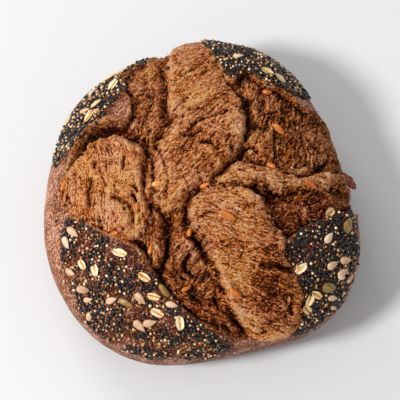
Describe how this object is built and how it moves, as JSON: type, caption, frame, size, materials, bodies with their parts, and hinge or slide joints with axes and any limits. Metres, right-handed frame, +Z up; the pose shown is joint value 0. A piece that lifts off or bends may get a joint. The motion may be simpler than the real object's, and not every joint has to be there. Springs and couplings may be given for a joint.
{
  "type": "multigrain round loaf",
  "caption": "Round hearth loaf with a torn bloom of folded dough between four flaps of smooth crust, seeds and oat flakes baked onto the flaps.",
  "frame": {"origin": "centre of the loaf's box at the level of its flat foot", "axes": "+Z up out of the foot, +X to the right and +Y away from the viewer of the picture"},
  "size_m": [0.2243, 0.242, 0.1028],
  "materials": {
    "crust": "baked rye crust, matt, reddish brown with a thin floury bloom",
    "crumb": "torn baked dough, matt, fibrous, golden to dark brown",
    "black_sesame": "black sesame, slightly satin",
    "pale_grain": "toasted pale millet and white sesame",
    "sunflower": "toasted sunflower kernel",
    "pumpkin": "roasted green-brown pumpkin kernel, satin",
    "oat": "toasted oat flake",
    "baked_grain": "baked wheat grain, orange brown, satin"
  },
  "bodies": {
    "root": {"loaf": "crust"}
  },
  "joints": []
}
